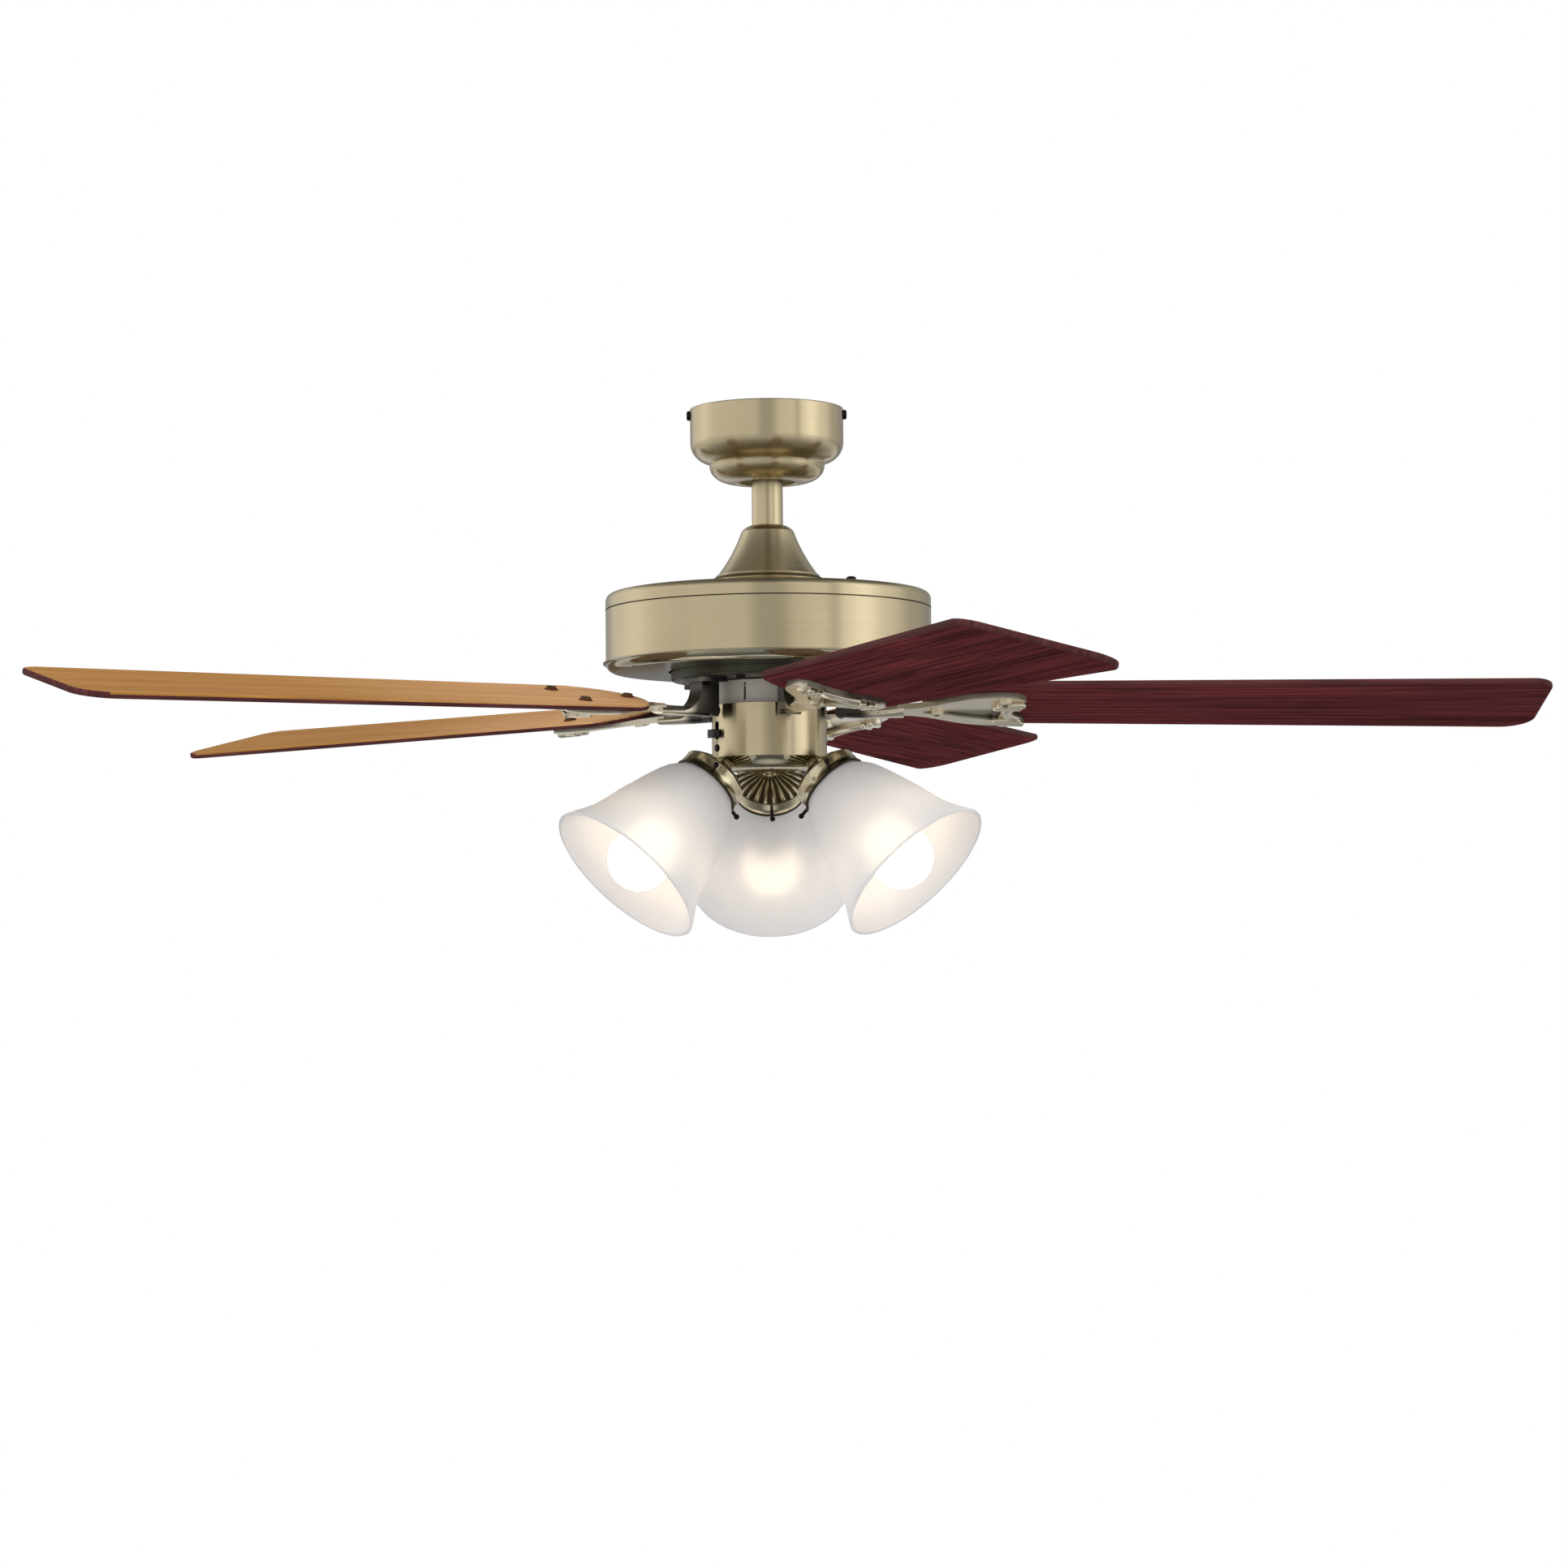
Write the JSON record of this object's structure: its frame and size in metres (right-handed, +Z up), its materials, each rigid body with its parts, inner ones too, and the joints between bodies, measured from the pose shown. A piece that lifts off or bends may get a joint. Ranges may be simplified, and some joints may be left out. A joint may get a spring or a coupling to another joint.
{
  "type": "ceiling fan with light",
  "caption": "Downrod ceiling fan with a drum motor housing, pitched wooden blades on cast irons and a light kit of tilted bell shades; blades spin, fan swings on its hanger ball.",
  "frame": {"origin": "on the fan's vertical axis in the ceiling plane, at the centre of the outlet-box screw pattern", "axes": "+Z up out of the ceiling plane, -Y towards the side where two of the three lamps stand, +X close to the first blade"},
  "size_m": [1.2328, 1.2823, 0.4522],
  "materials": {
    "antique_brass": "brushed antique brass plate, satin lacquer",
    "polished_brass": "polished pale brass plate",
    "zinc_steel": "zinc plated pressed steel",
    "dark_steel": "blackened screw steel",
    "cast_aluminium": "as-cast",
    "lamination_steel": "stacked lamination steel",
    "copper_coil": "enamelled copper windings",
    "ball_black": "black moulded ball",
    "blade_wood": "dark mahogany veneer under, light oak veneer on top",
    "fibre": "pressed fibre",
    "switch_black": "black moulded switch parts",
    "capacitor_grey": "moulded case",
    "socket_white": "glazed porcelain",
    "bulb_glass": "soft white glass, lit",
    "shade_glass": "frosted opal glass"
  },
  "bodies": {
    "ceiling": {"hanger_bracket": "zinc_steel", "canopy": "antique_brass", "canopy_screws": "dark_steel"},
    "fan": {"hanger_ball": "ball_black", "ball_pin": "zinc_steel", "downrod": "antique_brass", "motor_coupling": "cast_aluminium", "clevis_pin": "zinc_steel", "hairpin_clip": "zinc_steel", "set_screws": "dark_steel", "coupling_cover": "antique_brass", "housing_top": "antique_brass", "housing_wall": "antique_brass", "housing_bottom": "polished_brass", "housing_screws": "dark_steel", "motor_shaft": "zinc_steel", "bearing_inner_rings": "zinc_steel", "stator_core": "lamination_steel", "stator_windings": "copper_coil", "neck": "zinc_steel", "switch_housing": "antique_brass", "reverse_switch_body": "switch_black", "reverse_switch_screws": "dark_steel", "capacitor": "capacitor_grey", "light_pan": "polished_brass", "light_stem": "zinc_steel", "lock_nuts": "zinc_steel", "thumb_screws": "dark_steel", "shade_holder_1": "antique_brass", "lamp_socket_1": "socket_white", "bulb_1": "bulb_glass", "shade_1": "shade_glass", "shade_holder_2": "antique_brass", "lamp_socket_2": "socket_white", "bulb_2": "bulb_glass", "shade_2": "shade_glass", "shade_holder_3": "antique_brass", "lamp_socket_3": "socket_white", "bulb_3": "bulb_glass", "shade_3": "shade_glass"},
    "rotor": {"rotor_cover_bottom": "cast_aluminium", "rotor_cover_top": "cast_aluminium", "rotor_cage": "lamination_steel", "rotor_screws": "dark_steel", "rotor_hub": "polished_brass", "bearing_outer_rings": "zinc_steel", "iron_screws": "dark_steel", "blade_screws": "dark_steel", "blade_washers": "fibre", "blade_1": "blade_wood", "blade_2": "blade_wood", "blade_3": "blade_wood", "blade_4": "blade_wood", "blade_5": "blade_wood", "blade_iron_1": "polished_brass", "blade_iron_2": "polished_brass", "blade_iron_3": "polished_brass", "blade_iron_4": "polished_brass", "blade_iron_5": "polished_brass"},
    "reverse_knob": {"reverse_switch_knob": "switch_black"}
  },
  "joints": [
    {"name": "fan_swing", "type": "hinge", "parent": "ceiling", "child": "fan", "pos_m": [0, 0, -0.033], "axis": [0, 1, 0], "range_deg": [-12, 12]},
    {"name": "rotor_spin", "type": "hinge", "parent": "fan", "child": "rotor", "pos_m": [0, 0, -0.234], "axis": [0, 0, 1], "continuous": true},
    {"name": "reverse_slide", "type": "slide", "parent": "fan", "child": "reverse_knob", "axis": [0, 0, 1], "range_m": [0, 0.0056]}
  ]
}
